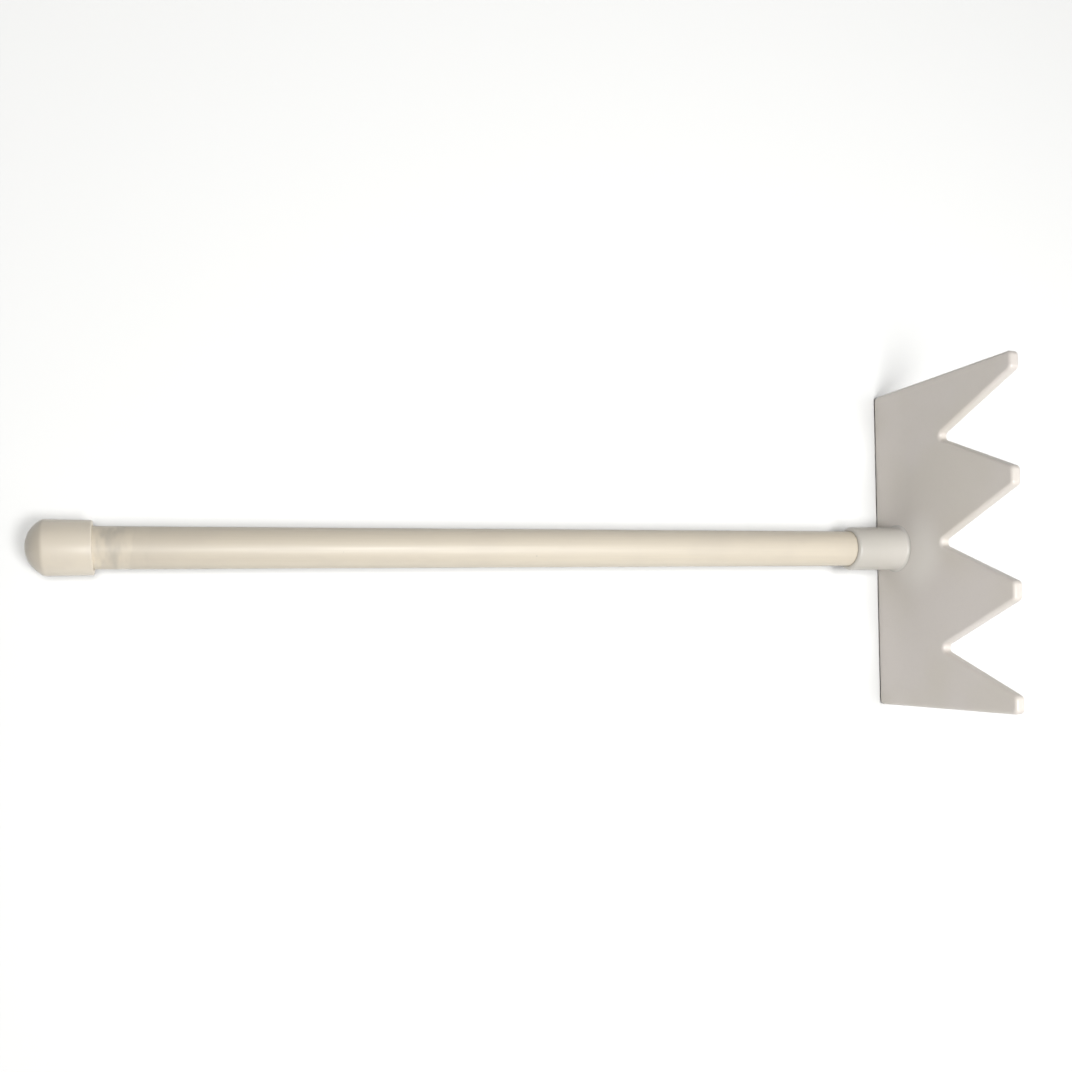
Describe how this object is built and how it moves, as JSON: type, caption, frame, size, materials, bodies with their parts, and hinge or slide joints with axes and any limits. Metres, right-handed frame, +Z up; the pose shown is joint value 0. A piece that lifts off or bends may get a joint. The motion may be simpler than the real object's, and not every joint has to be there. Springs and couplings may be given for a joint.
{
  "type": "mortar mixing hoe",
  "caption": "Long hand mixing hoe: a straight pipe handle with a domed end cap, and a collar on a square-set plate blade whose free edge is cut into blunt pointed teeth.",
  "frame": {"origin": "level with the blade's back edge, under the middle of the tool's bounding box", "axes": "+X along the handle from the end cap to the blade; +Y across the blade; +Z up along the teeth"},
  "size_m": [0.6374, 0.25, 0.152],
  "materials": {
    "head": "moulded, satin gloss",
    "pipe": "extruded, satin, lightly scuffed",
    "cap": "moulded, satin gloss",
    "cement": "dried solvent cement"
  },
  "bodies": {
    "root": {"toothed_blade": "head", "handle_socket": "head", "socket_root_bead": "head", "handle_pipe": "pipe", "end_cap": "cap", "socket_cement": "cement", "cap_cement": "cement"}
  },
  "joints": []
}
